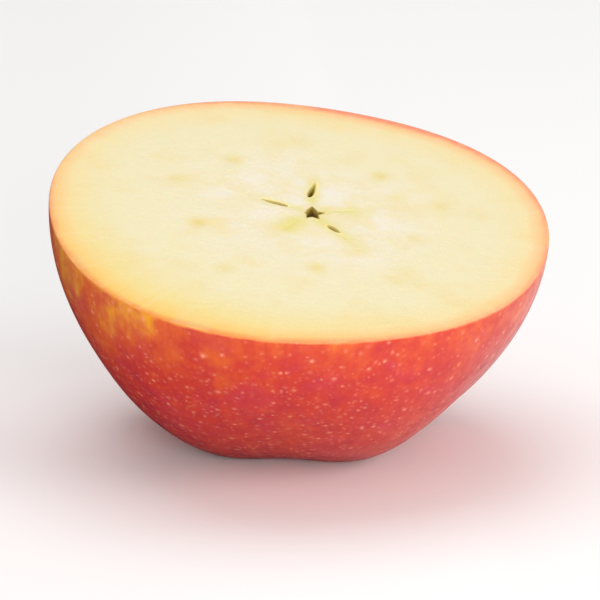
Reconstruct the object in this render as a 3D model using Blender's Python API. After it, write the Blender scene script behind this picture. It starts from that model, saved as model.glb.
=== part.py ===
"""Half of an apple, cut straight across the core, resting on its blossom end with the cut face up.

The fruit is one solid. It is modelled in the frame of its cut: the cut face lies at z = 0, the
fruit hangs below it, and the star of the core opens in the face. The object's own turn and
location then stand it on the five bumps of the blossom end, where the face leans to the front.
"""

from math import atan2, cos, hypot, radians, sin, tau

import bmesh
import bpy
from mathutils import Matrix, Vector

# Driving dimensions, in metres
CUT_RADIUS = 0.0390          # mean radius of the cut face
BODY_DEPTH = 0.0386          # from the cut's centre straight down to the crown of the blossom end
CROWN_RADIUS = 0.0152        # mean radius of the ring of bumps that the half rests on
BASIN_DEPTH = 0.0062         # how far the blossom end is dished inside that ring
CALYX_RADIUS = 0.0024        # dried stub of the flower in the middle of the basin
CALYX_HEIGHT = 0.0026
REST_FLAT = 0.00022          # how much the bumps are flattened where they rest
CROWN_OFFSET = (0.0035, -0.0001)   # the fruit grew a little lopsided

# How the cut face leans once the half rests on its crown, in degrees
LEAN_TO_FRONT = 13.67
LEAN_TO_RIGHT = 4.08

# Shape of the turned body
WALL_POWER = 1.383           # over 1 tapers the body towards the crown
DEPTH_POWER = 1.09           # over 1 leaves the wall steeper under the cut
BASIN_POWER = 2              # rounds the basin into the crown
OUTLINE_WAVES = ((2, 0.0, 0.0034), (3, 0.0173, 0.0048), (4, -0.0116, 0.0035), (5, -0.003, 0.0026))

# The five lobes, which grow from nothing at the cut to full bumps at the crown
LOBES = 5
LOBE_ANGLE = radians(7.7)    # direction of one lobe's crest
LOBE_SWELL = 0.08            # share of the radius at the crown
LOBE_DROP = 0.008            # share of the depth by which the valleys fall short of the crests
UNEVEN_SIDES = 3             # three of the sides fill out a little more than the rest
UNEVEN_ANGLE = radians(33.3)
UNEVEN_SWELL = 0.034

# The core: seed cavities cut through near their ends show as a star of slits round a small hole
CORE_PLACE = (0.0024, 0.0008)
CORE_HOLE_RADIUS = 0.0017
CORE_HOLE_DEPTH = 0.0060
CORE_HOLE_STRETCH = 1.25     # longer front to back than it is wide
# Each slit: middle x, middle y, length, width, depth, turn in degrees
SEED_SLITS = (
    (0.0030, 0.0084, 0.0046, 0.00125, 0.0050, 72.0),
    (-0.0031, 0.0040, 0.0038, 0.00075, 0.0035, 153.0),
    (0.0054, -0.0038, 0.0027, 0.00100, 0.0030, 129.0),
)
SLIT_TAPER = 0.35            # width at the bottom of a slit, as a share of its mouth
CUTTER_RISE = 0.0010         # how far a cutter stands above the face

# Fineness of the mesh
STEPS_AROUND = 100
WALL_RINGS = 30
BASIN_RINGS = 7
CALYX_RINGS = 3
CUTTER_SIDES = 14
FLOOR_CUT_REACH = 1e-7
SAME_POINT = 1e-6
SHARP_ANGLE = radians(50)
QUARTER_TURN = radians(90)

# Finish of the two surfaces, which are the first and the second material of the half
SKIN_COLOUR = (0.62, 0.055, 0.035)
SKIN_ROUGHNESS = 0.35
FLESH_COLOUR = (0.90, 0.80, 0.52)
FLESH_ROUGHNESS = 0.55
FLESH_INDEX = 1


def remove_start_objects():
    """Empty the scene that Blender opens with."""
    for thing in list(bpy.data.objects):
        bpy.data.objects.remove(thing, do_unlink=True)


def surface(name, colour, roughness):
    """A plain material with the colour and shine of one part of the fruit."""
    material = bpy.data.materials.new(name)
    material.use_nodes = True
    shader = material.node_tree.nodes["Principled BSDF"]
    shader.inputs["Base Color"].default_value = (*colour, 1.0)
    shader.inputs["Roughness"].default_value = roughness
    shader.inputs["Metallic"].default_value = 0.0
    return material


def resting_turn():
    """Turn from the frame of the cut to the world, which keeps x to the right along the face."""
    to_right = sin(radians(LEAN_TO_RIGHT))
    to_front = sin(radians(LEAN_TO_FRONT))
    face = Vector((to_right, -to_front, (1 - to_right ** 2 - to_front ** 2) ** 0.5))
    right = (Vector((1, 0, 0)) - face * face.x).normalized()
    back = face.cross(right)
    return Matrix((right, back, face)).transposed()


def turned_outline():
    """Half outline of the plain body: radius and depth from the cut's rim to the calyx."""
    points = []
    for step in range(WALL_RINGS + 1):
        turn = QUARTER_TURN * step / WALL_RINGS
        taper = max(cos(turn), 0.0) ** WALL_POWER
        radius = CROWN_RADIUS + (CUT_RADIUS - CROWN_RADIUS) * taper
        points.append((radius, BODY_DEPTH * sin(turn) ** DEPTH_POWER))
    for step in range(1, BASIN_RINGS + 1):
        radius = CROWN_RADIUS + (CALYX_RADIUS - CROWN_RADIUS) * step / BASIN_RINGS
        points.append((radius, BODY_DEPTH - basin_rise(radius)))
    foot = points[-1][1]
    for step in range(1, CALYX_RINGS + 1):
        turn = QUARTER_TURN * step / CALYX_RINGS
        radius = CALYX_RADIUS * max(cos(turn), 0.0) ** 0.5
        points.append((radius, foot + CALYX_HEIGHT * sin(turn)))
    return points


def basin_rise(radius):
    """Height of the basin's floor above the crown at a radius inside the ring of bumps."""
    return BASIN_DEPTH * (1 - (radius / CROWN_RADIUS) ** 2) ** BASIN_POWER


def grown(point, floor_slope):
    """Move a point of the plain turned body to where the fruit really grew."""
    radius = hypot(point.x, point.y)
    angle = atan2(point.y, point.x)
    inside = radius < CROWN_RADIUS
    share = 1.0 if inside else min(-point.z / BODY_DEPTH, 1.0)
    rise = point.z + BODY_DEPTH if inside else 0.0
    fade = (radius / CROWN_RADIUS) ** 2 if inside else 1.0
    growth = share ** (2 / DEPTH_POWER)
    wave = cos(LOBES * (angle - LOBE_ANGLE))
    outline = 1.0
    for count, along, across in OUTLINE_WAVES:
        outline += along * cos(count * angle) + across * sin(count * angle)
    uneven = cos(UNEVEN_SIDES * (angle - UNEVEN_ANGLE))
    radius *= outline * (1 + growth * fade * (LOBE_SWELL * wave + UNEVEN_SWELL * uneven))
    x = radius * cos(angle) + CROWN_OFFSET[0] * growth
    y = radius * sin(angle) + CROWN_OFFSET[1] * growth
    valley = LOBE_DROP * growth ** 2 * fade * (1 - wave) / 2
    depth = share * (BODY_DEPTH * (1 - valley) + floor_slope[0] * x + floor_slope[1] * y)
    return Vector((x, y, rise - depth))


def fruit_mesh(turn):
    """The half fruit as a closed mesh in the frame of its cut, flattened where it rests."""
    up = turn.transposed() @ Vector((0, 0, 1))
    floor_slope = (up.x / up.z, up.y / up.z)
    body = bmesh.new()
    points = [body.verts.new((radius, 0, -depth)) for radius, depth in turned_outline()]
    edges = [body.edges.new(pair) for pair in zip(points, points[1:])]
    bmesh.ops.spin(
        body, geom=points + edges, cent=(0, 0, 0), axis=(0, 0, 1),
        angle=tau, steps=STEPS_AROUND, use_merge=True)
    bmesh.ops.remove_doubles(body, verts=body.verts, dist=SAME_POINT)
    for vertex in body.verts:
        vertex.co = grown(vertex.co, floor_slope)

    rim = [edge for edge in body.edges if edge.is_boundary]
    cut_face = bmesh.ops.contextual_create(body, geom=rim)["faces"]
    for face in cut_face:
        face.material_index = FLESH_INDEX

    lowest = min(vertex.co.dot(up) for vertex in body.verts)
    bmesh.ops.bisect_plane(
        body, geom=body.verts[:] + body.edges[:] + body.faces[:], dist=FLOOR_CUT_REACH,
        plane_co=up * (lowest + REST_FLAT), plane_no=-up, clear_outer=True)
    flats = [edge for edge in body.edges if edge.is_boundary]
    bmesh.ops.holes_fill(body, edges=flats)
    bmesh.ops.recalc_face_normals(body, faces=body.faces)
    mesh = bpy.data.meshes.new("apple_half")
    body.to_mesh(mesh)
    body.free()
    return mesh


def resting_place(mesh, turn):
    """World matrix that stands the half on the floor with its box centred on the origin."""
    corners = [turn @ vertex.co for vertex in mesh.vertices]
    middle = [(min(c[axis] for c in corners) + max(c[axis] for c in corners)) / 2 for axis in (0, 1)]
    lowest = min(corner.z for corner in corners)
    return Matrix.Translation((-middle[0], -middle[1], -lowest)) @ turn.to_4x4()


def add_object(name, mesh):
    """Put a mesh into the scene as an object of its own."""
    thing = bpy.data.objects.new(name, mesh)
    bpy.context.scene.collection.objects.link(thing)
    return thing


def cut_from(body, name, place, size, depth, turn):
    """Cut one tapered pocket of the core out of the face; size is its length and width there."""
    tool = bmesh.new()
    bmesh.ops.create_cone(
        tool, cap_ends=True, segments=CUTTER_SIDES, radius1=0.5 * SLIT_TAPER, radius2=0.5,
        depth=depth + CUTTER_RISE)
    bmesh.ops.scale(tool, vec=(size[0], size[1], 1), verts=tool.verts)
    bmesh.ops.rotate(tool, matrix=Matrix.Rotation(turn, 3, "Z"), verts=tool.verts)
    bmesh.ops.translate(tool, vec=(*place, (CUTTER_RISE - depth) / 2), verts=tool.verts)
    for face in tool.faces:
        face.material_index = FLESH_INDEX
    mesh = bpy.data.meshes.new(name)
    tool.to_mesh(mesh)
    tool.free()
    for material in body.data.materials:
        mesh.materials.append(material)

    cutter = add_object(name, mesh)
    cutter.parent = body
    cutter.hide_render = True
    cutter.display_type = "WIRE"
    pocket = body.modifiers.new(name, "BOOLEAN")
    pocket.operation = "DIFFERENCE"
    pocket.solver = "EXACT"
    pocket.object = cutter


def build_apple_half():
    """Model the half, stand it on its crown and open the core in its face."""
    turn = resting_turn()
    mesh = fruit_mesh(turn)
    mesh.materials.append(surface("apple_skin", SKIN_COLOUR, SKIN_ROUGHNESS))
    mesh.materials.append(surface("apple_flesh", FLESH_COLOUR, FLESH_ROUGHNESS))
    mesh.shade_smooth()
    mesh.set_sharp_from_angle(angle=SHARP_ANGLE)
    body = add_object("apple_half", mesh)
    body.matrix_world = resting_place(mesh, turn)

    hole = (2 * CORE_HOLE_RADIUS * CORE_HOLE_STRETCH, 2 * CORE_HOLE_RADIUS)
    cut_from(body, "core_hole_cutter", CORE_PLACE, hole, CORE_HOLE_DEPTH, QUARTER_TURN)
    for number, (x, y, length, width, depth, angle) in enumerate(SEED_SLITS, start=1):
        name = f"seed_slit_cutter_{number}"
        cut_from(body, name, (x, y), (length, width), depth, radians(angle))


remove_start_objects()
build_apple_half()
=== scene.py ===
from math import atan2, cos, exp, hypot, pi, radians, sin, sqrt, tau

import bmesh
import bpy
from bpy.props import FloatProperty, FloatVectorProperty, IntProperty, PointerProperty
from mathutils import Matrix, Vector, noise


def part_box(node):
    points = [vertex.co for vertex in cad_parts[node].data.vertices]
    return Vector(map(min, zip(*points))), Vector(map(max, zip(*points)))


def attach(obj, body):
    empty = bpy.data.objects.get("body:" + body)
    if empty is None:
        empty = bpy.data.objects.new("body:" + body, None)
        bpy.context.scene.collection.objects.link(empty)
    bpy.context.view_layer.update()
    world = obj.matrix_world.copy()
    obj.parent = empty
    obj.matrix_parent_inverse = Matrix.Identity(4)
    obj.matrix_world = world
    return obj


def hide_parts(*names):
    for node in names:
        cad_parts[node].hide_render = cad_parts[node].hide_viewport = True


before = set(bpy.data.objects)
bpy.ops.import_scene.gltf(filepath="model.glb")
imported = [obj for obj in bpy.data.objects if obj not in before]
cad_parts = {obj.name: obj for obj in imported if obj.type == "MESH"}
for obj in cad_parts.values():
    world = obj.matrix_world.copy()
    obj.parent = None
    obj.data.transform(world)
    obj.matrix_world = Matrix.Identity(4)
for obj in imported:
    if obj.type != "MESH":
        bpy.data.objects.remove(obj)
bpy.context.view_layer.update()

bl_info = {
    "name": "Apple Half",
    "version": (1, 0, 0),
    "blender": (4, 5, 0),
    "location": "3D View > Sidebar > Apple Half",
    "description": "Half of an apple cut across the core, with its skin, flesh, star and dried calyx",
    "category": "Add Mesh",
}

MM = 0.001
FLAT = 1e-7
QUARTER_TURN = radians(90)
NODE = "apple_half"

# The turned body. The powers shape its wall, and the waves are those of its outline, as in the solid.
WALL_POWER = 1.383
DEPTH_POWER = 1.09
BASIN_POWER = 2
OUTLINE_WAVES = ((2, 0.0, 0.0034), (3, 0.0173, 0.0048), (4, -0.0116, 0.0035), (5, -0.003, 0.0026))
CROWN_OFFSET = (3.5 * MM, -0.1 * MM)
LOBES = 5
LOBE_ANGLE = radians(7.7)
LOBE_SWELL = 0.08
LOBE_DROP = 0.008
UNEVEN_SIDES = 3
UNEVEN_ANGLE = radians(33.3)
UNEVEN_SWELL = 0.034

# The core, placed on the cut face from its middle: x to the right, y to the back
CORE = (2.4 * MM, 0.8 * MM)
CORE_HOLE_DEPTH = 6.0 * MM
# How wide the sloping walls of the seed cavities and of the hole look from above
POCKET_WALL = 0.38 * MM
HOLE_WALL = 1.5 * POCKET_WALL
# Each lobe of the core's hole: direction in degrees, reach, width
HOLE_LOBES = (
    (86, 2.3 * MM, 1.8 * MM), (14, 2.0 * MM, 1.2 * MM), (302, 1.8 * MM, 1.4 * MM),
    (236, 1.6 * MM, 1.4 * MM), (165, 1.1 * MM, 1.4 * MM),
)
HOLE_OVERLAP = 0.9 * MM
# All of the hole lies within this of the core, and all of the seed cavities beyond it
HOLE_REACH = 3.0 * MM
# Each seed cavity that the cut opened: inner end, outer end, width, depth, strength of the painted shade
# inside it, tint
SEED_SLITS = (
    ((2.30 * MM, 6.2 * MM), (3.70 * MM, 11.0 * MM), 0.92 * MM, 3.4 * MM, 0.22, 1.00),
    ((-1.2 * MM, 3.0 * MM), (-5.2 * MM, 5.0 * MM), 0.74 * MM, 3.0 * MM, 0.10, 0.90),
    ((4.5 * MM, -2.7 * MM), (6.4 * MM, -5.0 * MM), 0.86 * MM, 2.0 * MM, 0.05, 0.80),
)
# Each arm of the star: start, end, width of its tint, strength of its tint, depth of its crease
STAR_ARMS = (
    ((2.7 * MM, 5.2 * MM), (3.7 * MM, 13.4 * MM), 1.15 * MM, 0.85, 0.08 * MM),
    ((0.6 * MM, 2.2 * MM), (-6.8 * MM, 5.4 * MM), 0.85 * MM, 0.55, 0.08 * MM),
    ((-0.4 * MM, -1.8 * MM), (-3.0 * MM, -5.8 * MM), 2.00 * MM, 0.85, 0.06 * MM),
    ((3.6 * MM, -1.4 * MM), (9.2 * MM, -10.0 * MM), 1.60 * MM, 0.70, 0.10 * MM),
    ((4.8 * MM, 1.8 * MM), (11.2 * MM, 2.7 * MM), 1.80 * MM, 0.60, 0.06 * MM),
)
CREASE_WIDTH = 0.30 * MM
# Shares of an arm between which its crease starts and ends, its tint fades, and by how much
CREASE_START = (0.0, 0.3)
CREASE_END = (0.5, 1.0)
ARM_END = (0.6, 1.0)
ARM_FADES = 0.7
# Where tints fade in round an opening: from and to how far inside its edge
SLIT_TINT = (-0.15 * MM, 0.12 * MM)
CREAM_TINT = (-0.90 * MM, -0.15 * MM)
HOLE_TINT = (-0.30 * MM, 0.05 * MM)
# Painted shade deep in the core's hole: from and to how far inside its edge
HOLE_PAINTED_SHADE = (-0.10 * MM, 0.32 * MM)
HOLE_AMBER = (-2.20 * MM, -0.10 * MM)
HOLE_AMBER_STRENGTH = 0.42
# The painted shade is weaker in the hole's lobe on the right, where more light falls: from and to how
# far right of the core, and by how much
LESS_SHADED_LOBE = (1.0 * MM, 2.2 * MM)
LESS_SHADED_LOBE_STRENGTH = 0.45
# The ten bundles of vessels round the core: direction in degrees, distance and strength
BUNDLES = (
    (12, 21.1 * MM, 0.50), (49, 17.9 * MM, 0.90), (89, 23.8 * MM, 0.35), (124, 20.3 * MM, 0.80),
    (155, 22.7 * MM, 0.70), (194, 18.3 * MM, 1.00), (232, 23.2 * MM, 0.70), (268, 17.1 * MM, 0.90),
    (299, 23.0 * MM, 0.40), (337, 16.6 * MM, 0.50),
)
BUNDLE_RADIUS = 1.45 * MM
BUNDLE_DIMPLE = 0.05 * MM
DIMPLE_RADIUS = 0.4 * BUNDLE_RADIUS

# The side where the flesh turns golden under the skin: direction and reach in degrees
WARM_SIDE = 228
WARM_REACH = 52
# How far in the coloured rim reaches: share of the radius, direction and reach in degrees
RIM_SWELLS = ((0.028, 62, 34), (0.006, 250, 30), (-0.024, 145, 30), (-0.009, 315, 24))
# The skin's blush at the cut, and how it changes on the way down: how much, from and to which share. The
# first band keeps the skin orange near the cut as painted light glowing through from the cut flesh, the
# second is painted shade all round where the crown meets the floor, and the third makes the basin less
# red.
BLUSH = 0.38
BLUSH_LIGHT_AND_SHADE_BANDS = ((0.27, 0.0, 0.40), (0.15, 0.86, 0.98), (-0.40, 1.02, 1.5))
# Redder sides: how much, direction and reach in degrees, from and to which share of the depth. The first
# is a redder side of the skin; the second, low on the front left, is painted shade.
BLUSH_AND_SHADE_SIDES = ((0.08, 30, 30, -1.0, -0.5), (0.12, 223, 24, 0.40, 0.85))
# Patches of the blush: how much redder, direction and reach in degrees, share of the depth and reach.
# The patch at 202 degrees is yellower skin and also painted light on the dim left wall; the one at 266
# degrees is painted light on the shaded lower front.
BLUSH_AND_LIGHT_PATCHES = (
    (-0.42, 231, 6, 0.0, 0.11), (-0.30, 202, 20, 0.05, 0.30), (-0.06, 236, 18, 0.22, 0.14),
    (0.09, 288, 36, 0.06, 0.20), (-0.06, 266, 22, 0.72, 0.14), (-0.30, 112, 34, 0.25, 0.45),
)


def linear(code):
    """Turn an sRGB hex colour to the linear values that a shader takes."""
    values = [int(code[start:start + 2], 16) / 255 for start in (0, 2, 4)]
    return tuple(v / 12.92 if v <= 0.04045 else ((v + 0.055) / 1.055) ** 2.4 for v in values)


def size_property(label, text, metres):
    return FloatProperty(name=label, description=text, default=metres, unit="LENGTH", precision=4)


def angle_property(label, text, degrees):
    return FloatProperty(name=label, description=text, default=radians(degrees), unit="ROTATION")


def colour_property(label, text, code):
    return FloatVectorProperty(
        name=label, description=text, default=linear(code), subtype="COLOR", size=3, min=0, max=1)


class FruitSizes(bpy.types.PropertyGroup):
    """Real sizes of the half."""

    cut_radius: size_property("Cut radius", "Mean radius of the cut face", 39.0 * MM)
    body_depth: size_property("Depth", "From the cut down to the crown it rests on", 38.6 * MM)
    crown_radius: size_property("Crown radius", "Mean radius of the ring of bumps", 15.2 * MM)
    basin_depth: size_property("Basin depth", "How far the blossom end is dished", 6.2 * MM)
    calyx_radius: size_property("Calyx radius", "Radius of the dried flower's stub", 2.4 * MM)
    calyx_height: size_property("Calyx height", "Height of the dried flower's stub", 2.6 * MM)
    rest_flat: size_property("Rest flat", "How much the bumps are pressed flat", 0.22 * MM)
    rim_round: size_property("Rim rounding", "Radius of the cut's edge", 0.22 * MM)
    lean_to_front: angle_property("Lean to the front", "Lean of the cut face to the front", 13.67)
    lean_to_right: angle_property("Lean to the right", "Lean of the cut face to the right", 4.08)
    spokes: IntProperty(
        name="Steps around", description="Fineness of the mesh round the fruit", default=300)


class FruitColours(bpy.types.PropertyGroup):
    """Colours of the flesh, the skin and the dried calyx."""

    flesh_core: colour_property("Core flesh", "Flesh inside the ring of vessels", "e1d5b0")
    flesh_middle: colour_property("Middle flesh", "Flesh outside the ring of vessels", "e1d6ae")
    flesh_outer: colour_property("Outer flesh", "Flesh a few millimetres under the skin", "e5d29e")
    flesh_sunny: colour_property("Sunny flesh", "The same under the sunny skin", "e3cd82")
    flesh_gold: colour_property("Golden flesh", "Flesh right under the sunny skin", "ebbc5c")
    flesh_peach: colour_property("Peach flesh", "Flesh right under the red skin", "ecba80")
    rim_gold: colour_property("Golden rim", "Cut edge of the yellow skin", "de8b2e")
    rim_peach: colour_property("Peach rim", "Cut edge of the red skin", "ea8a66")
    milk: colour_property("Milky flesh", "Pale cloudy patches", "e3dccc")
    honey: colour_property("Honey flesh", "Yellow cloudy patches", "e2cb88")
    star_green: colour_property("Star green", "Tint along the arms of the star", "dacb70")
    star_cream: colour_property("Star cream", "Bright cut edges of the seed cavities", "eedb96")
    pocket_olive: colour_property("Pocket olive", "Walls of the seed cavities", "9c8418")
    # Painted shade deep in the core's hole and the seed cavities
    pocket_painted_shade: colour_property("Pocket dark", "Bottom of the core's hole", "623804")
    bundle_amber: colour_property("Bundle amber", "Ends of the bundles of vessels", "dac56f")
    skin_yellow: colour_property("Skin yellow", "Ground colour where no blush lies", "e99a1c")
    skin_orange: colour_property("Skin orange", "Thin blush over the ground colour", "d65c26")
    skin_scarlet: colour_property("Skin scarlet", "Even blush", "c63926")
    skin_crimson: colour_property("Skin crimson", "Deepest blush", "b82a2f")
    # The darkest stop of the skin; painted shade near the crown and low on the front left pushes the
    # skin towards it
    skin_maroon: colour_property("Skin maroon", "Shaded side's darkest blush", "861a1c")
    skin_pink: colour_property("Skin pink", "Cooler patches in the blush", "c23444")
    lenticel: colour_property("Lenticel", "Pale pores of the skin", "f7a888")
    sepal: colour_property("Sepal", "Dried sepals of the flower", "6b5233")
    stamen: colour_property("Stamen", "Dried threads of the flower", "3a2616")
    stamen_shade: colour_property("Stamen shade", "Darker streaks of the threads", "1f0e00")


class StageSettings(bpy.types.PropertyGroup):
    """Camera, light and floor round the half."""

    camera_distance: size_property("Camera distance", "From the camera to its aim", 0.585)
    camera_drop: angle_property("Look down", "Angle that the camera looks down by", 16.03)
    camera_swing: angle_property("Swing", "Angle that the camera stands to the left by", 4.13)
    aim_height: size_property("Aim height", "Height that the camera looks at", 23.5 * MM)
    view_angle: angle_property("View angle", "Angle that the picture takes in", 9.06)
    floor_size: size_property("Floor size", "Side of the floor", 6.0)
    floor_colour: colour_property("Floor", "Pale matte floor", "f7f6f5")
    card_colour: colour_property("Card", "Dark end of the card", "1c0f0d")
    sky_strength: FloatProperty(
        name="Sky", description="Strength of the even light from all round", default=0.71)


def add(tree, kind, settings=None, links=None):
    """Add a node, set its inputs or its own settings by name, and link its inputs."""
    node = tree.nodes.new(kind)
    for key, value in (settings or {}).items():
        if key == "stops":
            marks = node.color_ramp.elements
            while len(marks) < len(value):
                marks.new(1.0)
            for mark, (place, colour) in zip(marks, value):
                mark.position = place
                mark.color = (*colour, 1.0)
        elif isinstance(key, int) or key in node.inputs:
            node.inputs[key].default_value = value
        else:
            setattr(node, key, value)
    for key, socket in (links or {}).items():
        tree.links.new(socket, node.inputs[key])
    return node


def new_material(name, settings):
    """A material with its output and its Principled shader, whose sockets are set by name."""
    material = bpy.data.materials.new(name)
    material.use_nodes = True
    tree = material.node_tree
    tree.nodes.clear()
    shader = add(tree, "ShaderNodeBsdfPrincipled", settings)
    add(tree, "ShaderNodeOutputMaterial", links={"Surface": shader.outputs["BSDF"]})
    return material, tree, shader


# Sockets of the Mix node when it mixes colours
MIX_FACTOR = 0
MIX_A = 6
MIX_B = 7
MIX_RESULT = 2


def layered(tree, ground, layers):
    """Lay colours over a ground colour, each through its own mask and strength."""
    for mask, strength, colour in layers:
        factor = add(
            tree, "ShaderNodeMath", {"operation": "MULTIPLY", 1: strength, "use_clamp": True},
            {0: mask})
        mixed = add(
            tree, "ShaderNodeMix", {"data_type": "RGBA", MIX_B: (*colour, 1.0)},
            {MIX_FACTOR: factor.outputs[0], MIX_A: ground})
        ground = mixed.outputs[MIX_RESULT]
    return ground


def new_mesh(name, shape):
    """Turn a bmesh to a mesh and free it."""
    mesh = bpy.data.meshes.new(name)
    shape.to_mesh(mesh)
    shape.free()
    return mesh


def new_object(name, data):
    """Add an object to the scene."""
    item = bpy.data.objects.new(name, data)
    bpy.context.scene.collection.objects.link(item)
    return item


def smooth(low, high, value):
    """0 below low, 1 above high and an even curve between."""
    t = min(max((value - low) / (high - low), 0.0), 1.0)
    return t * t * (3 - 2 * t)


def bell(distance, width):
    """1 at no distance, falling off evenly over the width."""
    return exp(-(distance / width) ** 2)


def turn_between(angle, other):
    """The smaller angle between two directions, in degrees."""
    return abs((angle - other + 180) % 360 - 180)


def resting_turn(sizes):
    """Turn from the frame of the cut to the frame of the solid."""
    to_right = sin(sizes.lean_to_right)
    to_front = sin(sizes.lean_to_front)
    face = Vector((to_right, -to_front, sqrt(1 - to_right ** 2 - to_front ** 2)))
    right = (Vector((1, 0, 0)) - face * face.x).normalized()
    back = face.cross(right)
    return Matrix((right, back, face)).transposed()


def basin_rise(sizes, radius):
    """Height of the basin's floor above the crown."""
    return sizes.basin_depth * (1 - (radius / sizes.crown_radius) ** 2) ** BASIN_POWER


# Steps of the outline: the mesh is finest over the core, out to its reach
CORE_RINGS = 100
CORE_REACH = 13.5 * MM
FACE_RINGS = 34
RIM_RINGS = 4
WALL_RINGS = 88
BASIN_RINGS = 18
CALYX_RINGS = 6


def turned_outline(sizes):
    """Half outline: out along the cut face, over the rim, down the wall and into the calyx."""
    points = []
    for step in range(CORE_RINGS):
        points.append((CORE_REACH * step / CORE_RINGS, 0.0))
    edge = sizes.cut_radius - sizes.rim_round
    for step in range(FACE_RINGS):
        points.append((CORE_REACH + (edge - CORE_REACH) * step / FACE_RINGS, 0.0))
    for step in range(RIM_RINGS):
        turn = QUARTER_TURN * step / RIM_RINGS
        points.append((edge + sizes.rim_round * sin(turn), sizes.rim_round * (1 - cos(turn))))
    start = (sizes.rim_round / sizes.body_depth) ** (1 / DEPTH_POWER)
    for step in range(WALL_RINGS + 1):
        turn = start + (QUARTER_TURN - start) * step / WALL_RINGS
        taper = max(cos(turn), 0.0) ** WALL_POWER
        radius = sizes.crown_radius + (sizes.cut_radius - sizes.crown_radius) * taper
        points.append((radius, sizes.body_depth * sin(turn) ** DEPTH_POWER))
    for step in range(1, BASIN_RINGS + 1):
        radius = sizes.crown_radius + (sizes.calyx_radius - sizes.crown_radius) * step / BASIN_RINGS
        points.append((radius, sizes.body_depth - basin_rise(sizes, radius)))
    foot = points[-1][1]
    for step in range(1, CALYX_RINGS + 1):
        turn = QUARTER_TURN * step / CALYX_RINGS
        radius = sizes.calyx_radius * sqrt(max(cos(turn), 0.0))
        points.append((radius, foot + sizes.calyx_height * sin(turn)))
    return points


def on_line(x, y, start, end):
    """Share of the way along a line that a point lies, its offset and how far it is past the ends."""
    run_x = end[0] - start[0]
    run_y = end[1] - start[1]
    length = hypot(run_x, run_y)
    along = ((x - start[0]) * run_x + (y - start[1]) * run_y) / length
    across = ((y - start[1]) * run_x - (x - start[0]) * run_y) / length
    beyond = max(0.0, -along, along - length)
    return along / length, across, beyond


LEAF_FULLNESS = 1.3
# The painted shade in a seed cavity is strongest at its inner end and fades outwards
SLIT_FADE = 1.15


def leaf_inside(along, across, beyond, width):
    """How far inside a leaf shape a point lies; the leaf is widest near its inner end."""
    share = min(max(along, 0.0), 1.0)
    half = LEAF_FULLNESS * width * sqrt(share) * (1 - share)
    return half - abs(across) - beyond


def slit_places(x, y):
    """For each seed cavity: how far inside its edge a point lies, its side, depth, painted shade and
    tint.
    """
    for start, end, width, depth, slit_shade, tint in SEED_SLITS:
        along, across, beyond = on_line(x, y, start, end)
        inside = leaf_inside(along, across, beyond, width)
        yield inside, across, depth, slit_shade * (SLIT_FADE - along), tint


def hole_inside(x, y):
    """How far a point lies inside the edge of the core's hole, where the five cavities meet."""
    inside = -1.0
    for angle, reach, width in HOLE_LOBES:
        ahead = (cos(radians(angle)), sin(radians(angle)))
        start = (CORE[0] - HOLE_OVERLAP * ahead[0], CORE[1] - HOLE_OVERLAP * ahead[1])
        end = (CORE[0] + reach * ahead[0], CORE[1] + reach * ahead[1])
        along, across, beyond = on_line(x, y, start, end)
        inside = max(inside, leaf_inside(along, across, beyond, width))
    return inside


def bundle_places(x, y):
    """For each bundle of vessels, how far a point lies from it, and its strength."""
    for angle, distance, strength in BUNDLES:
        mid_x = CORE[0] + distance * cos(radians(angle))
        mid_y = CORE[1] + distance * sin(radians(angle))
        yield hypot(x - mid_x, y - mid_y), strength


# Points up to three steps inside an edge are moved to the nearest step
SNAP_STEP = 0.14 * MM
SNAP_STEPS = 3
SLOPE_REACH = 0.01 * MM
LEAST_SLOPE = 0.25


def opening_inside(x, y):
    """How far a point lies inside the nearest opening of the core."""
    return max(hole_inside(x, y), *(place[0] for place in slit_places(x, y)))


def snapped(x, y):
    """Move a point near an opening to an even distance from its edge, which keeps the edge smooth."""
    inside = opening_inside(x, y)
    steps = round(inside / SNAP_STEP)
    if not 0 <= steps <= SNAP_STEPS:
        return x, y
    slope_x = opening_inside(x + SLOPE_REACH, y) - opening_inside(x - SLOPE_REACH, y)
    slope_y = opening_inside(x, y + SLOPE_REACH) - opening_inside(x, y - SLOPE_REACH)
    slope = Vector((slope_x, slope_y)) / (2 * SLOPE_REACH)
    if slope.length_squared < LEAST_SLOPE:
        return x, y
    move = slope * (steps * SNAP_STEP - inside) / slope.length_squared
    return x + move.x, y + move.y


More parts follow.
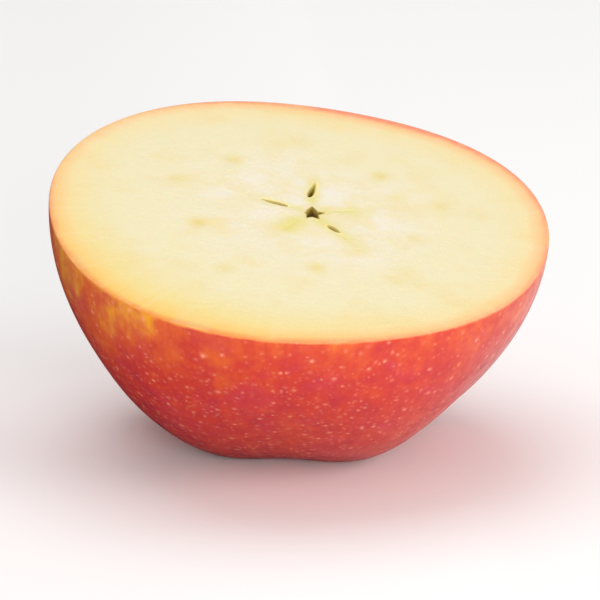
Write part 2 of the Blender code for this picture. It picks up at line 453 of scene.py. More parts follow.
def face_marks(x, y):
    """What the cut opened at a point of the face: hollow, painted shade, green, cream, bundle and its
    drop.
    """
    drop = 0.0
    hollow = 0.0
    dark = 0.0
    cream = 0.0
    for inside, across, depth, slit_shade, tint in slit_places(x, y):
        edge = smooth(*SLIT_TINT, inside)
        hollow = max(hollow, tint * edge)
        dark = max(dark, slit_shade * edge)
        drop = max(drop, depth * smooth(0.0, POCKET_WALL, inside))
        if across < 0:
            cream = max(cream, smooth(*CREAM_TINT, inside) * (1 - edge))
    inside = hole_inside(x, y)
    hollow = max(hollow, smooth(*HOLE_TINT, inside))
    # Painted shade deep in the hole, weaker in its lobe on the right
    lobe = 1 - LESS_SHADED_LOBE_STRENGTH * smooth(*LESS_SHADED_LOBE, x - CORE[0])
    dark = max(dark, lobe * smooth(*HOLE_PAINTED_SHADE, inside))
    drop = max(drop, CORE_HOLE_DEPTH * smooth(0.0, HOLE_WALL, inside))
    green = 0.0
    for start, end, width, tint, crease in STAR_ARMS:
        along, across, beyond = on_line(x, y, start, end)
        off = hypot(across, beyond)
        fade = 1 - ARM_FADES * smooth(*ARM_END, along)
        green = max(green, tint * fade * bell(off, width))
        ends = smooth(*CREASE_START, along) * (1 - smooth(*CREASE_END, along))
        drop = max(drop, crease * ends * bell(across, CREASE_WIDTH))
    bundle = HOLE_AMBER_STRENGTH * smooth(*HOLE_AMBER, inside)
    for off, strength in bundle_places(x, y):
        bundle = max(bundle, strength * bell(off, BUNDLE_RADIUS))
        drop = max(drop, BUNDLE_DIMPLE * strength * bell(off, DIMPLE_RADIUS))
    return hollow, dark, green, cream, bundle, drop


# Direction, height and lengths of the blade's waves, then of the flesh's grain and the skin's waves
KNIFE_TURN = radians(24)
KNIFE_WAVE = 0.035 * MM
KNIFE_LENGTH = 6.0 * MM
KNIFE_WIDTH = 3 * KNIFE_LENGTH
GRAIN_WAVE = 0.012 * MM
GRAIN_LENGTH = 1.1 * MM
SKIN_WAVE = 0.16 * MM
SKIN_LENGTH = 13.0 * MM
# The face calms down to the rim, from and to which share of the radius. The skin's waves start and
# end between shares of the depth.
FACE_CALM = (0.90, 0.995)
SKIN_WAVES_START = (0.0, 0.15)
SKIN_WAVES_END = (0.75, 0.95)


def knife_relief(x, y):
    """Shallow waves that the blade leaves, long across its stroke, and the grain of the flesh."""
    along = x * cos(KNIFE_TURN) + y * sin(KNIFE_TURN)
    across = y * cos(KNIFE_TURN) - x * sin(KNIFE_TURN)
    wave = noise.noise(Vector((along / KNIFE_LENGTH, across / KNIFE_WIDTH, 0.3)))
    grain = noise.noise(Vector((x / GRAIN_LENGTH, y / GRAIN_LENGTH, 7.1)))
    return KNIFE_WAVE * wave + GRAIN_WAVE * grain


def blush_light_and_shade_at(angle, share):
    """How red the skin is, with painted light and painted shade added, from 0 for bare yellow ground to
    1 for the deepest red.
    """
    blush = BLUSH
    for redder, low, high in BLUSH_LIGHT_AND_SHADE_BANDS:
        blush += redder * smooth(low, high, share)
    for redder, side, reach, low, high in BLUSH_AND_SHADE_SIDES:
        blush += redder * bell(turn_between(angle, side), reach) * smooth(low, high, share)
    for redder, side, reach, level, spread in BLUSH_AND_LIGHT_PATCHES:
        blush += redder * bell(turn_between(angle, side), reach) * bell(share - level, spread)
    return blush


def rim_width(angle):
    """How much further in the coloured rim of the flesh reaches, as a share of the radius."""
    return sum(swell * bell(turn_between(angle, side), reach) for swell, side, reach in RIM_SWELLS)


def floor_slope(sizes):
    """How the floor slopes against the cut face: its rise to the right and to the back."""
    up = resting_turn(sizes).transposed() @ Vector((0, 0, 1))
    return up.x / up.z, up.y / up.z


def grown(sizes, slope, radius, angle, depth):
    """Move a point of the plain turned body to where the fruit really grew."""
    under_crown = depth > FLAT and radius < sizes.crown_radius
    share = 1.0 if under_crown else min(depth / sizes.body_depth, 1.0)
    rise = sizes.body_depth - depth if under_crown else 0.0
    fade = (radius / sizes.crown_radius) ** 2 if under_crown else 1.0
    growth = share ** (2 / DEPTH_POWER)
    wave = cos(LOBES * (angle - LOBE_ANGLE))
    uneven = cos(UNEVEN_SIDES * (angle - UNEVEN_ANGLE))
    outline = 1.0
    for count, along, across in OUTLINE_WAVES:
        outline += along * cos(count * angle) + across * sin(count * angle)
    radius *= outline * (1 + growth * fade * (LOBE_SWELL * wave + UNEVEN_SWELL * uneven))
    x = radius * cos(angle) + CROWN_OFFSET[0] * growth
    y = radius * sin(angle) + CROWN_OFFSET[1] * growth
    valley = LOBE_DROP * growth ** 2 * fade * (1 - wave) / 2
    sink = share * (sizes.body_depth * (1 - valley) + slope[0] * x + slope[1] * y)
    return Vector((x, y, rise - sink))


def resting_place(sizes):
    """Matrix that lays the grown half into the box of the solid it stands for."""
    turn = resting_turn(sizes)
    slope = floor_slope(sizes)
    steps = sizes.spokes
    outline = turned_outline(sizes)[CORE_RINGS + FACE_RINGS:]
    corners = [
        turn @ grown(sizes, slope, radius, tau * step / steps, depth)
        for radius, depth in outline for step in range(steps)]
    low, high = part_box(NODE)
    shift = []
    for axis in (0, 1):
        along = [corner[axis] for corner in corners]
        shift.append((low[axis] + high[axis]) / 2 - (min(along) + max(along)) / 2)
    lowest = min(corner.z for corner in corners)
    return Matrix.Translation((*shift, -lowest - sizes.rest_flat)) @ turn.to_4x4()


# The dark mark is painted shade deep in the hollows of the core
FACE_MARKS = ("hollow", "dark", "green", "cream", "bundle")
# Points with more than this of the hollow mark lie in a seed cavity, whose height is smoothed
SLIT_MARK = 0.79
SLIT_PASSES = 9


def grow_fruit(sizes, body):
    """Shape the turned body, note on each point what the materials need, and rest it on the floor."""
    slope = floor_slope(sizes)
    place = resting_place(sizes)
    floats = body.verts.layers.float
    ring_of, warm_of, blush_light_and_shade_of, share_of = [
        floats.new(name) for name in ("ring", "warm", "blush", "share")]
    mark_layers = [floats.new(name) for name in FACE_MARKS]
    grain_of = body.verts.layers.float_vector.new("grain")
    for vertex in body.verts:
        radius = hypot(vertex.co.x, vertex.co.y)
        angle = atan2(vertex.co.y, vertex.co.x)
        depth = -vertex.co.z
        on_face = depth < FLAT
        under_crown = not on_face and radius < sizes.crown_radius
        degrees = angle * 180 / pi
        vertex.co = grown(sizes, slope, radius, angle, depth)
        ring = min(radius / sizes.cut_radius, 1.0) if on_face else 1.0
        past = 2 - radius / sizes.crown_radius if under_crown else min(depth / sizes.body_depth, 1.0)
        vertex[warm_of] = bell(turn_between(degrees, WARM_SIDE), WARM_REACH)
        vertex[ring_of] = ring + rim_width(degrees)
        vertex[share_of] = past
        # The blush value also carries painted light near the cut and painted shade low down
        vertex[blush_light_and_shade_of] = blush_light_and_shade_at(degrees, past)
        vertex[grain_of] = (cos(angle), sin(angle), past)
        if on_face:
            vertex.co.xy = snapped(
                vertex.co.x + CORE[0] * (1 - ring), vertex.co.y + CORE[1] * (1 - ring))
            marks = face_marks(vertex.co.x, vertex.co.y)
            for layer, value in zip(mark_layers, marks):
                vertex[layer] = value
            calm = 1 - smooth(*FACE_CALM, ring)
            vertex.co.z = knife_relief(vertex.co.x, vertex.co.y) * calm - marks[-1]
    hollow_of = mark_layers[0]
    slits = [
        vertex for vertex in body.verts
        if vertex[hollow_of] > SLIT_MARK and (vertex.co.xy - Vector(CORE)).length > HOLE_REACH]
    for _pass in range(SLIT_PASSES):
        bmesh.ops.smooth_vert(
            body, verts=slits, factor=0.5, use_axis_x=False, use_axis_y=False, use_axis_z=True)
    body.normal_update()
    for vertex in body.verts:
        share = vertex[share_of]
        if share > 0.0:
            hold = smooth(*SKIN_WAVES_START, share) * (1 - smooth(*SKIN_WAVES_END, share))
            vertex.co += vertex.normal * noise.noise(vertex.co / SKIN_LENGTH) * SKIN_WAVE * hold
    body.transform(place)
    for vertex in body.verts:
        vertex.co.z = max(vertex.co.z, 0.0)


# How far down the rounded rim the skin starts, as a share of the rounding
SKIN_EDGE = 0.45


def fruit_mesh(sizes):
    """The half as a closed mesh: a full spin of its outline, then grown to its real form."""
    body = bmesh.new()
    points = [body.verts.new((radius, 0, -depth)) for radius, depth in turned_outline(sizes)]
    edges = [body.edges.new(pair) for pair in zip(points, points[1:])]
    bmesh.ops.spin(
        body, geom=points + edges, cent=(0, 0, 0), axis=(0, 0, 1), angle=tau, steps=sizes.spokes,
        use_merge=True)
    bmesh.ops.remove_doubles(body, verts=body.verts, dist=1e-6)
    bmesh.ops.recalc_face_normals(body, faces=body.faces)
    cut_edge = SKIN_EDGE * sizes.rim_round
    for face in body.faces:
        face.smooth = True
        face.material_index = 1 if face.calc_center_median().z > -cut_edge else 0
    grow_fruit(sizes, body)
    return new_mesh("apple_half_fruit", body)


# Sizes of the flesh's patterns. Its real cells measure about 0.2 mm, which is too fine to show, so
# they are drawn at 0.45 mm.
CLOUD_SIZE = 7.0 * MM
MILK_SIZE = 5.0 * MM
CELL_SIZE = 0.45 * MM
GRAIN_SIZE = 0.9 * MM
# Threads that run out to the skin, 1.5 mm wide at the rim: their number in a radian
FLESH_THREADS = (26.0, 26.0, 2.2)


def flesh_material(colours):
    """Apple flesh, just cut: crisp cells full of juice, so it is pale, slightly see-through and
    moist. It is creamy at the core and turns golden right under the skin."""
    material, tree, shader = new_material("cut_apple_flesh", {
        "IOR": 1.36, "Subsurface Weight": 0.30, "Subsurface Radius": (1.0, 0.6, 0.3),
        "Subsurface Scale": 2.2 * MM})
    place = add(tree, "ShaderNodeTexCoord").outputs["Object"]
    masks = {
        name: add(tree, "ShaderNodeAttribute", {"attribute_name": name}).outputs["Fac"]
        for name in ("ring", "warm", *FACE_MARKS)}
    grain = add(tree, "ShaderNodeAttribute", {"attribute_name": "grain"}).outputs["Vector"]

    clouds = add(
        tree, "ShaderNodeTexNoise", {"Scale": 1 / CLOUD_SIZE, "Detail": 2.0, "Roughness": 0.5},
        {"Vector": place})
    wander = add(
        tree, "ShaderNodeMath", {"operation": "MULTIPLY_ADD", 1: 0.05, 2: -0.025},
        {0: clouds.outputs["Fac"]})
    ring = add(tree, "ShaderNodeMath", {"operation": "ADD"}, {0: masks["ring"], 1: wander.outputs[0]})
    inner = ((0.0, colours.flesh_core), (0.30, colours.flesh_core), (0.55, colours.flesh_middle))
    sunny = add(
        tree, "ShaderNodeValToRGB",
        {"stops": (*inner, (0.70, colours.flesh_middle), (0.88, colours.flesh_sunny),
                   (0.965, colours.flesh_gold), (0.996, colours.rim_gold))},
        {"Fac": ring.outputs[0]})
    rosy = add(
        tree, "ShaderNodeValToRGB",
        {"stops": (*inner, (0.76, colours.flesh_middle), (0.91, colours.flesh_outer),
                   (0.97, colours.flesh_peach), (0.998, colours.rim_peach))},
        {"Fac": ring.outputs[0]})
    ground = add(
        tree, "ShaderNodeMix", {"data_type": "RGBA"},
        {MIX_FACTOR: masks["warm"], MIX_A: rosy.outputs["Color"], MIX_B: sunny.outputs["Color"]})

    milk_clouds = add(
        tree, "ShaderNodeTexNoise", {"Scale": 1 / MILK_SIZE, "Detail": 3.0, "Roughness": 0.55},
        {"Vector": place})
    milk_near = add(
        tree, "ShaderNodeMapRange", {"From Min": 0.62, "From Max": 0.25}, {"Value": masks["ring"]})
    milk_patch = add(
        tree, "ShaderNodeMapRange", {"From Min": 0.40, "From Max": 0.60},
        {"Value": milk_clouds.outputs["Fac"]})
    shady = add(
        tree, "ShaderNodeMath", {"operation": "MULTIPLY_ADD", 1: -0.55, 2: 1.0}, {0: masks["warm"]})
    milk = milk_near
    for mask in (milk_patch, shady):
        milk = add(
            tree, "ShaderNodeMath", {"operation": "MULTIPLY"},
            {0: milk.outputs[0], 1: mask.outputs[0]})
    honey = add(
        tree, "ShaderNodeMapRange", {"From Min": 0.50, "From Max": 0.72},
        {"Value": clouds.outputs["Fac"]})
    rays = add(
        tree, "ShaderNodeVectorMath", {"operation": "MULTIPLY", 1: FLESH_THREADS}, {0: grain})
    threads = add(
        tree, "ShaderNodeTexNoise", {"Scale": 1.0, "Detail": 2.0}, {"Vector": rays.outputs[0]})
    thread_mask = add(
        tree, "ShaderNodeMapRange", {"From Min": 0.5, "From Max": 0.75},
        {"Value": threads.outputs["Fac"]})
    colour = layered(tree, ground.outputs[MIX_RESULT], (
        (milk.outputs[0], 0.85, colours.milk),
        (honey.outputs[0], 0.45, colours.honey),
        (thread_mask.outputs[0], 0.10, colours.milk),
        (masks["bundle"], 0.75, colours.bundle_amber),
        (masks["green"], 1.0, colours.star_green),
        (masks["cream"], 0.8, colours.star_cream),
        (masks["hollow"], 0.92, colours.pocket_olive),
        # painted shade deep in the hollows
        (masks["dark"], 1.0, colours.pocket_painted_shade),
    ))

    cells = add(tree, "ShaderNodeTexVoronoi", {"Scale": 1 / CELL_SIZE}, {"Vector": place})
    fine = add(
        tree, "ShaderNodeTexNoise", {"Scale": 1 / GRAIN_SIZE, "Detail": 3.0}, {"Vector": place})
    height = add(
        tree, "ShaderNodeMath", {"operation": "MULTIPLY_ADD", 1: 0.5},
        {0: cells.outputs["Distance"], 2: fine.outputs["Fac"]})
    bump = add(
        tree, "ShaderNodeBump", {"Strength": 0.50, "Distance": 0.12 * MM},
        {"Height": height.outputs[0]})
    gloss = add(
        tree, "ShaderNodeMapRange",
        {"From Min": 0.3, "From Max": 0.7, "To Min": 0.30, "To Max": 0.50},
        {"Value": fine.outputs["Fac"]})
    dull = add(
        tree, "ShaderNodeMath", {"operation": "MULTIPLY_ADD", 1: 0.5, "use_clamp": True},
        {0: masks["hollow"], 2: gloss.outputs[0]})
    tree.links.new(colour, shader.inputs["Base Color"])
    tree.links.new(bump.outputs[0], shader.inputs["Normal"])
    tree.links.new(dull.outputs[0], shader.inputs["Roughness"])
    return material


# Numbers of streaks in a radian and in the depth: fine ones are 1.6 mm wide at the rim and 16 mm
# long, broad ones are 8 mm wide and 18 mm long.
FINE_STREAKS = (24.0, 24.0, 2.4)
BROAD_STREAKS = (5.0, 5.0, 2.2)
# Sizes of the skin's other patterns
MOTTLE_SIZE = 2.8 * MM
COOL_SIZE = 6.5 * MM
DIMPLE_SIZE = 1.8 * MM
# Each kind of pore: spacing, size, and the shares of the depth from none to the most of them
PORES = ((1.20 * MM, 0.56 * MM, -0.5, 0.15), (0.90 * MM, 0.44 * MM, 0.0, 0.6))
# How far down the cut's edge colours the skin, as a share of the depth, and how raggedly
CUT_EDGE = (0.024, 0.012)
CUT_EDGE_RAGGED = 0.024
# Where the skin ends at the dried stub, in the share that goes on past the crown
STUB_EDGE = (1.80, 1.86)


def skin_material(colours):
    """Apple skin: a thin waxy coat over a yellow ground, blushed red in fine streaks from end to
    end, with pale pores that crowd towards the blossom end. The wax gives it a soft shine."""
    material, tree, shader = new_material("waxy_apple_skin", {
        "IOR": 1.44, "Subsurface Weight": 0.10, "Subsurface Radius": (1.0, 0.35, 0.2),
        "Subsurface Scale": 1.2 * MM, "Specular IOR Level": 0.42, "Coat Weight": 0.12,
        "Coat Roughness": 0.22, "Coat IOR": 1.44})
    place = add(tree, "ShaderNodeTexCoord").outputs["Object"]
    # The blush attribute also carries painted light near the cut and painted shade low down
    warm, blush, share = [
        add(tree, "ShaderNodeAttribute", {"attribute_name": name}).outputs["Fac"]
        for name in ("warm", "blush", "share")]
    grain = add(tree, "ShaderNodeAttribute", {"attribute_name": "grain"}).outputs["Vector"]

    streak_map = add(
        tree, "ShaderNodeVectorMath", {"operation": "MULTIPLY", 1: FINE_STREAKS}, {0: grain})
    streaks = add(
        tree, "ShaderNodeTexNoise", {"Scale": 1.0, "Detail": 4.0, "Roughness": 0.6},
        {"Vector": streak_map.outputs[0]})
    broad_map = add(
        tree, "ShaderNodeVectorMath", {"operation": "MULTIPLY", 1: BROAD_STREAKS}, {0: grain})
    broad = add(
        tree, "ShaderNodeTexNoise", {"Scale": 1.0, "Detail": 3.0, "Roughness": 0.55},
        {"Vector": broad_map.outputs[0]})
    mottle = add(
        tree, "ShaderNodeTexNoise", {"Scale": 1 / MOTTLE_SIZE, "Detail": 4.0}, {"Vector": place})
    level = blush
    for source, strength in ((streaks, 0.34), (broad, 0.48), (mottle, 0.66)):
        centred = add(
            tree, "ShaderNodeMath", {"operation": "SUBTRACT", 1: 0.5}, {0: source.outputs["Fac"]})
        level = add(
            tree, "ShaderNodeMath", {"operation": "MULTIPLY_ADD", 1: strength},
            {0: centred.outputs[0], 2: level}).outputs[0]
    ground = add(
        tree, "ShaderNodeValToRGB",
        {"stops": ((0.02, colours.skin_yellow), (0.27, colours.skin_orange),
                   (0.54, colours.skin_scarlet), (0.78, colours.skin_crimson),
                   (1.0, colours.skin_maroon))},
        {"Fac": level})

    pores = []
    halos = []
    for spacing, size, low, high in PORES:
        cells = add(tree, "ShaderNodeTexVoronoi", {"Scale": 1 / spacing}, {"Vector": place})
        chance = add(tree, "ShaderNodeSeparateXYZ", links={"Vector": cells.outputs["Color"]})
        grain_size = add(
            tree, "ShaderNodeMapRange", {"To Min": 0.85, "To Max": 2.5},
            {"Value": chance.outputs["X"]})
        scaled = add(
            tree, "ShaderNodeMath", {"operation": "MULTIPLY"},
            {0: cells.outputs["Distance"], 1: grain_size.outputs[0]})
        spot = add(
            tree, "ShaderNodeMapRange",
            {"interpolation_type": "SMOOTHSTEP", "From Min": size / spacing,
             "From Max": 0.12 * size / spacing},
            {"Value": scaled.outputs[0]})
        region = add(
            tree, "ShaderNodeMapRange", {"From Min": low, "From Max": high}, {"Value": share})
        rare = add(
            tree, "ShaderNodeMath", {"operation": "POWER", 1: 1.8}, {0: chance.outputs["Y"]})
        border = add(
            tree, "ShaderNodeTexVoronoi", {"feature": "DISTANCE_TO_EDGE", "Scale": 1 / spacing},
            {"Vector": place})
        inner = add(
            tree, "ShaderNodeMapRange", {"interpolation_type": "SMOOTHSTEP", "From Max": 0.22},
            {"Value": border.outputs["Distance"]})
        faint = rare
        for mask in (inner, region):
            faint = add(
                tree, "ShaderNodeMath", {"operation": "MULTIPLY"},
                {0: faint.outputs[0], 1: mask.outputs[0]})
        soft = add(
            tree, "ShaderNodeMapRange",
            {"interpolation_type": "SMOOTHSTEP", "From Min": 2.0 * size / spacing, "From Max": 0.0},
            {"Value": scaled.outputs[0]})
        for kept, mark in ((pores, spot), (halos, soft)):
            kept.append(add(
                tree, "ShaderNodeMath", {"operation": "MULTIPLY"},
                {0: mark.outputs[0], 1: faint.outputs[0]}).outputs[0])
    pore = add(tree, "ShaderNodeMath", {"operation": "MAXIMUM"}, {0: pores[0], 1: pores[1]})
    halo = add(tree, "ShaderNodeMath", {"operation": "MAXIMUM"}, {0: halos[0], 1: halos[1]})
    cool = add(
        tree, "ShaderNodeTexNoise", {"Scale": 1 / COOL_SIZE, "Detail": 3.0, "Roughness": 0.6},
        {"Vector": place})
    cool_mask = add(
        tree, "ShaderNodeMapRange", {"From Min": 0.50, "From Max": 0.68},
        {"Value": cool.outputs["Fac"]})
    ragged = add(
        tree, "ShaderNodeMath", {"operation": "MULTIPLY_ADD", 1: CUT_EDGE_RAGGED},
        {0: mottle.outputs["Fac"], 2: share})
    edge = add(
        tree, "ShaderNodeMapRange", {"From Min": CUT_EDGE[0], "From Max": CUT_EDGE[1]},
        {"Value": ragged.outputs[0]})
    warm_edge = add(
        tree, "ShaderNodeMath", {"operation": "MULTIPLY"}, {0: edge.outputs[0], 1: warm})
    stub = add(
        tree, "ShaderNodeMapRange", {"From Min": STUB_EDGE[0], "From Max": STUB_EDGE[1]},
        {"Value": share})
    colour = layered(tree, ground.outputs["Color"], (
        (cool_mask.outputs[0], 0.55, colours.skin_pink),
        (edge.outputs[0], 0.70, colours.rim_peach),
        (warm_edge.outputs[0], 1.0, colours.rim_gold),
        (halo.outputs[0], 0.25, colours.lenticel),
        (pore.outputs[0], 0.50, colours.lenticel),
        (stub.outputs[0], 0.9, colours.sepal),
    ))

    bump = add(
        tree, "ShaderNodeBump", {"Strength": 0.25, "Distance": 0.06 * MM},
        {"Height": pore.outputs[0]})
    dimples = add(
        tree, "ShaderNodeTexNoise", {"Scale": 1 / DIMPLE_SIZE, "Detail": 2.0}, {"Vector": place})
    skin_bump = add(
        tree, "ShaderNodeBump", {"Strength": 0.12, "Distance": 0.10 * MM},
        {"Height": dimples.outputs["Fac"], "Normal": bump.outputs[0]})
    gloss = add(
        tree, "ShaderNodeMapRange",
        {"From Min": 0.3, "From Max": 0.7, "To Min": 0.30, "To Max": 0.44},
        {"Value": mottle.outputs["Fac"]})
    tree.links.new(colour, shader.inputs["Base Color"])
    tree.links.new(skin_bump.outputs[0], shader.inputs["Normal"])
    tree.links.new(gloss.outputs[0], shader.inputs["Roughness"])
    return material


# The sepals' path in millimetres, as distances from the middle and under the cut, and their widths
SEPALS = 5
SEPAL_PATH = ((1.6, 33.0), (2.6, 34.2), (3.1, 35.3), (3.7, 36.1), (4.7, 36.3), (5.5, 35.9))
SEPAL_WIDTHS = (2.6, 3.0, 2.7, 2.0, 1.2, 0.25)
SEPAL_CUP = 0.35 * MM
SEPAL_CRINKLE = 0.5 * MM
SEPAL_THICKNESS = 0.22 * MM
# The threads stand on the stub in a spiral, a little below its top
GOLDEN_TURN = radians(137.5)
THREAD_FOOT = 0.85
THREADS = 16
THREAD_LENGTH = 2.6 * MM
THREAD_RADIUS = 0.11 * MM
THREAD_RING = 1.5 * MM


def along_path(values, share):
    """Value at a share of the way along a row of evenly spaced values."""
    spot = share * (len(values) - 1)
    start = min(int(spot), len(values) - 2)
    return values[start] + (values[start + 1] - values[start]) * (spot - start)


def add_sepal(tuft, number):
    """One dried sepal: a small sheet bent out and back, thickened and left uneven."""
    sheet = bmesh.ops.create_grid(tuft, x_segments=14, y_segments=6, size=0.5)["verts"]
    turn = tau * (number + 0.5) / SEPALS + LOBE_ANGLE
    for vertex in sheet:
        share = vertex.co.x + 0.5
        side = vertex.co.y * 2
        radius = along_path([r for r, _d in SEPAL_PATH], share) * MM
        depth = along_path([d for _r, d in SEPAL_PATH], share) * MM
        width = along_path(SEPAL_WIDTHS, share) * MM
        crinkle = noise.noise(Vector((share * 4, side * 2, number * 3.7)))
        radius += SEPAL_CUP * side * side + SEPAL_CRINKLE * crinkle * share
        depth += SEPAL_CRINKLE * noise.noise(Vector((share * 3, side, number * 5.1 + 9))) * share
        across = side * width / 2
        vertex.co = (
            radius * cos(turn) - across * sin(turn), radius * sin(turn) + across * cos(turn), -depth)
    faces = {face for vertex in sheet for face in vertex.link_faces}
    bmesh.ops.solidify(tuft, geom=list(faces), thickness=SEPAL_THICKNESS)


def add_thread(tuft, number, foot):
    """One dry thread of the flower, standing a little askew on the stub."""
    turn = number * GOLDEN_TURN
    ring = THREAD_RING * sqrt((number + 0.5) / THREADS)
    lean = radians(8 + 22 * ring / THREAD_RING)
    length = THREAD_LENGTH * (0.75 + 0.3 * noise.noise(Vector((number * 1.7, 0.2, 0.4))))
    stalk = bmesh.ops.create_cone(
        tuft, cap_ends=True, segments=6, radius1=THREAD_RADIUS, radius2=0.6 * THREAD_RADIUS,
        depth=length)
    tilt = Matrix.Rotation(turn, 4, "Z") @ Matrix.Rotation(lean, 4, "Y")
    stand = Matrix.Translation((ring * cos(turn), ring * sin(turn), -foot)) @ Matrix.Rotation(pi, 4, "X")
    place = stand @ tilt @ Matrix.Translation((0, 0, length / 2))
    bmesh.ops.transform(tuft, matrix=place, verts=stalk["verts"])
    for face in {face for vertex in stalk["verts"] for face in vertex.link_faces}:
        face.material_index = 1


def calyx_mesh(sizes):
    """The dried flower under the half: five curled sepals round a tuft of threads."""
    tuft = bmesh.new()
    for number in range(SEPALS):
        add_sepal(tuft, number)
    foot = sizes.body_depth - basin_rise(sizes, sizes.calyx_radius) + THREAD_FOOT * sizes.calyx_height
    for number in range(THREADS):
        add_thread(tuft, number, foot)
    bmesh.ops.recalc_face_normals(tuft, faces=tuft.faces)
    slope = floor_slope(sizes)
    for vertex in tuft.verts:
        radius = hypot(vertex.co.x, vertex.co.y)
        vertex.co = grown(sizes, slope, radius, atan2(vertex.co.y, vertex.co.x), -vertex.co.z)
    for face in tuft.faces:
        face.smooth = True
    tuft.transform(resting_place(sizes))
    return new_mesh("dried_calyx", tuft)


BLOTCH_SIZE = 0.9 * MM


def dried_material(name, colour, shade):
    """Dried flower parts: papery brown, with darker streaks and no shine left."""
    material, tree, shader = new_material(name, {"Roughness": 0.85, "IOR": 1.45})
    place = add(tree, "ShaderNodeTexCoord").outputs["Object"]
    blotches = add(
        tree, "ShaderNodeTexNoise", {"Scale": 1 / BLOTCH_SIZE, "Detail": 4.0, "Roughness": 0.6},
        {"Vector": place})
    tint = add(
        tree, "ShaderNodeValToRGB", {"stops": ((0.35, shade), (0.65, colour))},
        {"Fac": blotches.outputs["Fac"]})
    bump = add(
        tree, "ShaderNodeBump", {"Strength": 0.6, "Distance": 0.12 * MM},
        {"Height": blotches.outputs["Fac"]})
    tree.links.new(tint.outputs["Color"], shader.inputs["Base Color"])
    tree.links.new(bump.outputs[0], shader.inputs["Normal"])
    return material


def add_piece(name, mesh, materials):
    """Make a piece of the half from a mesh that is already in its place."""
    for material in materials:
        mesh.materials.append(material)
    piece = new_object(name, mesh)
    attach(piece, "root")
    return piece


class AddFruit(bpy.types.Operator):
    """Add the half itself: flesh, skin and the star of the core in one closed piece"""

    bl_idname = "apple_half.add_fruit"
    bl_label = "Add Cut Fruit"

    def execute(self, context):
        sizes = context.scene.apple_half_sizes
        colours = context.scene.apple_half_colours
        materials = (skin_material(colours), flesh_material(colours))
        piece = add_piece("cut_fruit", fruit_mesh(sizes), materials)
        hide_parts(NODE)
        return {"FINISHED"}


class AddCalyx(bpy.types.Operator):
    """Add the dried calyx in the dish of the blossom end"""

    bl_idname = "apple_half.add_calyx"
    bl_label = "Add Dried Calyx"

    def execute(self, context):
        colours = context.scene.apple_half_colours
        materials = (
            dried_material("dried_sepal", colours.sepal, colours.stamen),
            dried_material("dried_stamen", colours.stamen, colours.stamen_shade))
        add_piece("dried_calyx", calyx_mesh(context.scene.apple_half_sizes), materials)
        return {"FINISHED"}


class AddStage(bpy.types.Operator):
    """Add the pale floor, the soft lights and the camera"""

    bl_idname = "apple_half.add_stage"
    bl_label = "Add Stage"

    def execute(self, context):
        settings = context.scene.apple_half_stage
        add_floor(settings)
        add_card(settings)
        add_lights(settings)
        add_camera(settings)
        context.scene.view_settings.view_transform = "Standard"
        return {"FINISHED"}


def flat_sheet(name, sides, place, material):
    """A flat sheet of one material for the stage."""
    sheet = bmesh.new()
    bmesh.ops.create_grid(sheet, x_segments=1, y_segments=1, size=0.5)
    bmesh.ops.transform(sheet, matrix=Matrix.Diagonal((*sides, 1, 1)), verts=sheet.verts)
    bmesh.ops.translate(sheet, vec=place, verts=sheet.verts)
    mesh = new_mesh(name, sheet)
    mesh.materials.append(material)
    return new_object(name, mesh)


def add_floor(settings):
    """A plain pale floor under the half."""
    material, _tree, _shader = new_material(
        "matte_white_paper", {"Base Color": (*settings.floor_colour, 1.0), "Roughness": 0.9})
    floor = flat_sheet("studio_floor", (settings.floor_size, settings.floor_size), (0, 0, 0), material)


# The card's sides and middle, and where it turns from dark to pale on the way to the right
CARD_SIDES = (0.52, 0.90)
CARD_PLACE = (-0.235, 0.36, 0.0005)
CARD_FADE = (-0.030, 0.022)


def add_card(settings):
    """A dark card beside the half, seen only in reflections, which keeps its left side deep red."""
    material, tree, shader = new_material("matte_graded_card", {"Roughness": 0.95})
    place = add(tree, "ShaderNodeTexCoord").outputs["Object"]
    split = add(tree, "ShaderNodeSeparateXYZ", links={"Vector": place})
    spot = add(
        tree, "ShaderNodeMapRange", {"From Min": CARD_FADE[0], "From Max": CARD_FADE[1]},
        {"Value": split.outputs["X"]})
    grade = add(
        tree, "ShaderNodeValToRGB",
        {"stops": ((0.0, settings.card_colour), (1.0, settings.floor_colour))},
        {"Fac": spot.outputs[0]})
    tree.links.new(grade.outputs["Color"], shader.inputs["Base Color"])
    card = flat_sheet("dark_card", CARD_SIDES, CARD_PLACE, material)
    card.visible_camera = False
    card.visible_diffuse = False
    card.visible_shadow = False
    card.visible_transmission = False


# Each soft light: name, place, size, power in watts
SOFT_LIGHTS = (
    ("top_softbox", (-0.12, 0.25, 0.95), 0.9, 3.7),
    ("right_softbox", (0.75, -0.45, 0.40), 0.5, 2.9),
    ("front_softbox", (0.15, -1.0, 0.24), 0.46, 6.0),
)
LIGHT_AIM = Vector((0.0, 0.0, 0.02))


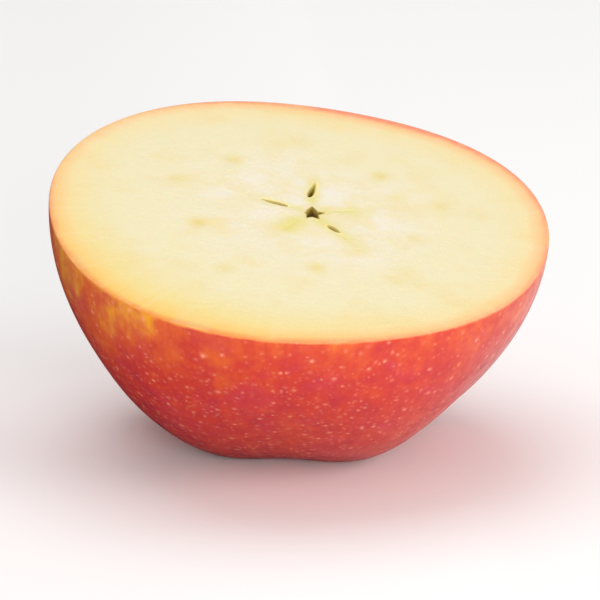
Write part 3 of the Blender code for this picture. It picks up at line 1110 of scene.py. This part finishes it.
def add_lights(settings):
    """Large soft lights over an even pale sky."""
    for name, place, size, power in SOFT_LIGHTS:
        lamp = bpy.data.lights.new(name, "AREA")
        lamp.shape = "SQUARE"
        lamp.size = size
        lamp.energy = power
        light = new_object(name, lamp)
        light.location = place
        light.rotation_euler = (LIGHT_AIM - Vector(place)).to_track_quat("-Z", "Y").to_euler()
    world = bpy.data.worlds.new("pale_sky")
    world.use_nodes = True
    tree = world.node_tree
    tree.nodes.clear()
    sky = add(tree, "ShaderNodeBackground", {"Strength": settings.sky_strength})
    add(tree, "ShaderNodeOutputWorld", links={"Surface": sky.outputs[0]})
    bpy.context.scene.world = world


def add_camera(settings):
    """The camera at the photograph's viewing angle, framed on the half."""
    lens = bpy.data.cameras.new("studio_camera")
    lens.sensor_fit = "HORIZONTAL"
    lens.angle = settings.view_angle
    camera = new_object("studio_camera", lens)
    ahead = Vector((
        sin(settings.camera_swing) * cos(settings.camera_drop),
        cos(settings.camera_swing) * cos(settings.camera_drop),
        -sin(settings.camera_drop)))
    aim = Vector((0.0, 0.0, settings.aim_height))
    camera.location = aim - ahead * settings.camera_distance
    camera.rotation_euler = ahead.to_track_quat("-Z", "Y").to_euler()
    bpy.context.scene.camera = camera


class ApplePanel(bpy.types.Panel):
    """Pieces, sizes and colours of the half"""

    bl_idname = "VIEW3D_PT_apple_half"
    bl_label = "Apple Half"
    bl_space_type = "VIEW_3D"
    bl_region_type = "UI"
    bl_category = "Apple Half"

    def draw(self, context):
        for operator in PIECES:
            self.layout.operator(operator.bl_idname)
        for group in (
                context.scene.apple_half_sizes, context.scene.apple_half_colours,
                context.scene.apple_half_stage):
            box = self.layout.box()
            for name in group.bl_rna.properties.keys():
                if name not in ("rna_type", "name"):
                    box.prop(group, name)


GROUPS = (FruitSizes, FruitColours, StageSettings)
PIECES = (AddFruit, AddCalyx, AddStage)
CLASSES = (*GROUPS, *PIECES, ApplePanel)


def register():
    for each in CLASSES:
        bpy.utils.register_class(each)
    bpy.types.Scene.apple_half_sizes = PointerProperty(type=FruitSizes)
    bpy.types.Scene.apple_half_colours = PointerProperty(type=FruitColours)
    bpy.types.Scene.apple_half_stage = PointerProperty(type=StageSettings)


def unregister():
    del bpy.types.Scene.apple_half_stage
    del bpy.types.Scene.apple_half_colours
    del bpy.types.Scene.apple_half_sizes
    for each in reversed(CLASSES):
        bpy.utils.unregister_class(each)


def main():
    """Register the add-on and add every piece."""
    register()
    bpy.ops.apple_half.add_fruit()
    bpy.ops.apple_half.add_calyx()
    bpy.ops.apple_half.add_stage()


if __name__ == "__main__":
    main()
